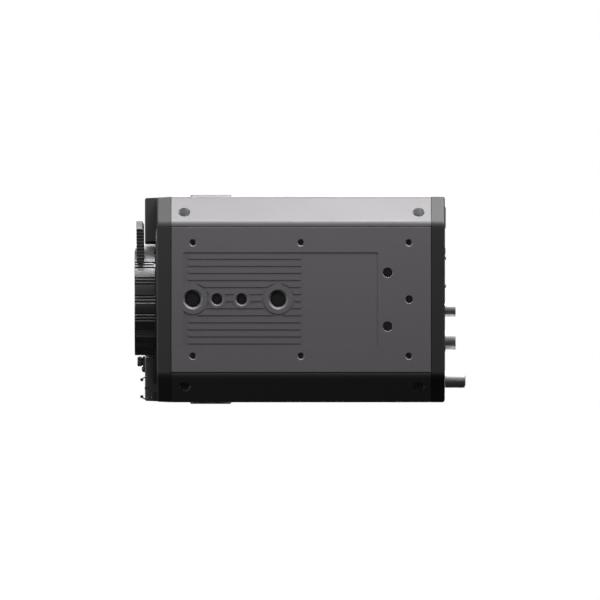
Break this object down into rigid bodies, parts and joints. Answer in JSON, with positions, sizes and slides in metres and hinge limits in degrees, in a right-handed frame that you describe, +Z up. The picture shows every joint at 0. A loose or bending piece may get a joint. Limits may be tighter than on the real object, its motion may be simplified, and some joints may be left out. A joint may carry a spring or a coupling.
{
  "type": "box video camera",
  "caption": "Box video camera with chamfered covers, a lever-locked lens mount, tripod sockets in its base and a rear panel of round connectors.",
  "frame": {"origin": "mouth of the middle 3/8 inch tripod socket, on the base's face", "axes": "+Z up; -Y towards the lens; +X towards the operator's left"},
  "size_m": [0.1162, 0.1842, 0.116],
  "materials": {
    "cast_black": "finely textured black castings at both ends",
    "base_grey": "warm grey satin finish of the base and top plates",
    "cover_black": "satin black covers",
    "ring_grey": "anodised lens lock ring and lever",
    "steel": "mount barrel, mount face, shafts and screws",
    "nickel": "connector shells",
    "black_screw": "blackened screws",
    "gold_contact": "contact pins",
    "alloy": "chassis, heat sink, holders and posts",
    "black_plastic": "buttons, inserts, fan, wheel",
    "white_plastic": "insulators of the coaxial connectors",
    "lamp_clear": "lamp lenses",
    "clip_plastic": "cable clip",
    "board_green": "circuit boards with their chips",
    "glass": "prism and filters"
  },
  "bodies": {
    "body": {"bottom_plate": "base_grey", "top_plate": "base_grey", "left_side_cover": "cover_black", "right_side_cover": "cover_black", "cover_screws": "black_screw", "chassis": "alloy", "plate_screws": "steel", "front_casting": "cast_black", "front_screws": "black_screw", "mount_barrel": "steel", "flange_screws": "steel", "mount_face": "steel", "face_screws": "steel", "tally_lamp": "lamp_clear", "front_switch_board": "board_green", "cable_clip": "clip_plastic", "clip_screw": "black_screw", "rear_casting": "cast_black", "rear_screws": "black_screw", "rear_panel": "cover_black", "panel_screws": "black_screw", "bnc_shells": "nickel", "bnc_insulators": "white_plastic", "bnc_contacts": "gold_contact", "remote_shell": "nickel", "power_shell": "nickel", "pin_inserts": "black_plastic", "contact_pins": "gold_contact", "port_shell": "nickel", "port_tongue": "black_plastic", "status_lamps": "lamp_clear", "switch_body": "black_plastic", "main_board": "board_green", "supply_board": "board_green", "connector_board": "board_green", "board_posts": "alloy", "heat_sink": "alloy", "fan_housing": "black_plastic", "wheel_shaft": "steel", "filter_motor": "steel", "prism_holder": "alloy", "prism_block": "glass", "sensor_boards": "board_green"},
    "lock_ring": {"lens_lock_ring": "ring_grey", "lock_lever": "ring_grey"},
    "button": {"balance_button": "black_plastic"},
    "slider": {"power_slider": "black_plastic"},
    "rotor": {"fan_rotor": "black_plastic"},
    "wheel": {"filter_wheel": "black_plastic", "filter_glasses": "glass"},
    "pinion": {"filter_pinion": "black_plastic"}
  },
  "joints": [
    {"name": "lens_lock_turn", "type": "hinge", "parent": "body", "child": "lock_ring", "pos_m": [0, -0.0741, 0.058], "axis": [0, -1, 0], "range_deg": [0, 55]},
    {"name": "balance_button_press", "type": "slide", "parent": "body", "child": "button", "axis": [0, 1, 0], "range_m": [0, 0.0008], "stiffness_N_per_m": 800, "springref_m": -0.0008},
    {"name": "power_slide", "type": "slide", "parent": "body", "child": "slider", "axis": [1, 0, 0], "range_m": [0, 0.004]},
    {"name": "fan_spin", "type": "hinge", "parent": "body", "child": "rotor", "pos_m": [0, 0.01, 0.058], "axis": [0, -1, 0], "continuous": true},
    {"name": "filter_wheel_turn", "type": "hinge", "parent": "body", "child": "wheel", "pos_m": [0, -0.0606, 0.038], "axis": [0, -1, 0], "continuous": true},
    {"name": "filter_pinion_turn", "type": "hinge", "parent": "body", "child": "pinion", "pos_m": [0.032, -0.0606, 0.05849], "axis": [0, -1, 0], "continuous": true}
  ],
  "couplings": [
    {"joint": "filter_pinion_turn", "follows": "filter_wheel_turn", "ratio": -5.3333}
  ]
}
